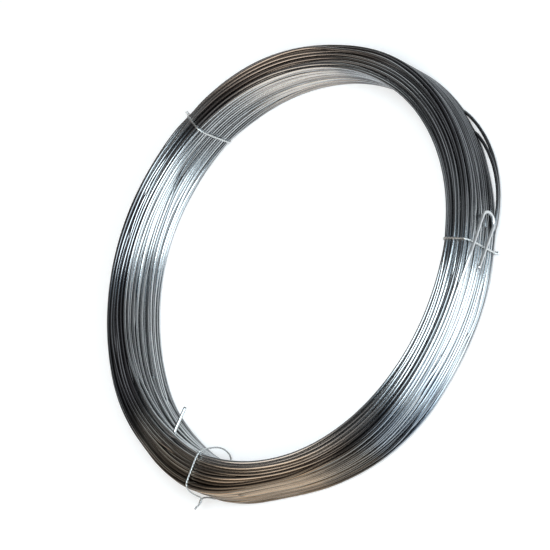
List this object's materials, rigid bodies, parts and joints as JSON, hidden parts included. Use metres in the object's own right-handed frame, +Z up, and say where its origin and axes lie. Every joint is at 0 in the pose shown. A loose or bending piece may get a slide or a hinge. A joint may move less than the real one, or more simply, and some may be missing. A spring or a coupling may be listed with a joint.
{
  "type": "coil of steel wire",
  "caption": "Round coil of bright drawn steel wire, wound in many turns and held by twisted wire ties, with both wire ends and loose outer turns showing.",
  "frame": {"origin": "on the coil's axis, at the level of the floor under the ties", "axes": "+Z up along the coil's axis, -Y towards the camera of the picture"},
  "size_m": [0.3726, 0.3522, 0.0389],
  "materials": {
    "drawn_wire": "bright drawn and galvanised round wire, glossy along the strands, dark between them",
    "tie_wire": "thin bright annealed wire, twisted by hand"
  },
  "bodies": {
    "root": {"wire_coil": "drawn_wire", "wire_tie_1": "tie_wire", "wire_tie_2": "tie_wire", "wire_tie_3": "tie_wire"}
  },
  "joints": []
}
